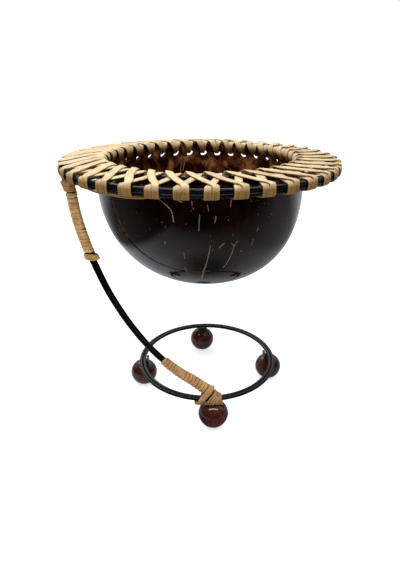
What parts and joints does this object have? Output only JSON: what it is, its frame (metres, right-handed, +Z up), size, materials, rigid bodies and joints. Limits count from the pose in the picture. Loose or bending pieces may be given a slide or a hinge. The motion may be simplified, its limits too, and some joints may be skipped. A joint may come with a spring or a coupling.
{
  "type": "footed bowl",
  "caption": "Half coconut shell bowl laced with cane into a round rod hoop, carried by a curved arm on a ring with bead feet.",
  "frame": {"origin": "on the table, under the centre of the hoop", "axes": "+Z up, the hoop's axis; -Y towards the viewer of the picture; the arm stands at -X"},
  "size_m": [0.1786, 0.1784, 0.1802],
  "materials": {
    "shell": "gloss",
    "rod": "gloss",
    "cane": "satin",
    "binding": "satin",
    "bead": "gloss"
  },
  "bodies": {
    "root": {"coconut_shell": "shell", "hoop_upper_rod": "rod", "hoop_lower_rod": "rod", "under_lacing": "cane", "over_lacing": "cane", "arm_outer_rod": "rod", "arm_inner_rod": "rod", "upper_binding": "binding", "tie_band": "binding", "lower_binding": "binding", "left_lashing": "binding", "right_lashing": "binding", "base_ring_outer_rod": "rod", "base_ring_inner_rod": "rod", "foot_bead_front": "bead", "foot_bead_right": "bead", "foot_bead_back": "bead", "foot_bead_left": "bead", "foot_bracket_front": "rod", "foot_bracket_right": "rod", "foot_bracket_back": "rod", "foot_bracket_left": "rod"}
  },
  "joints": []
}
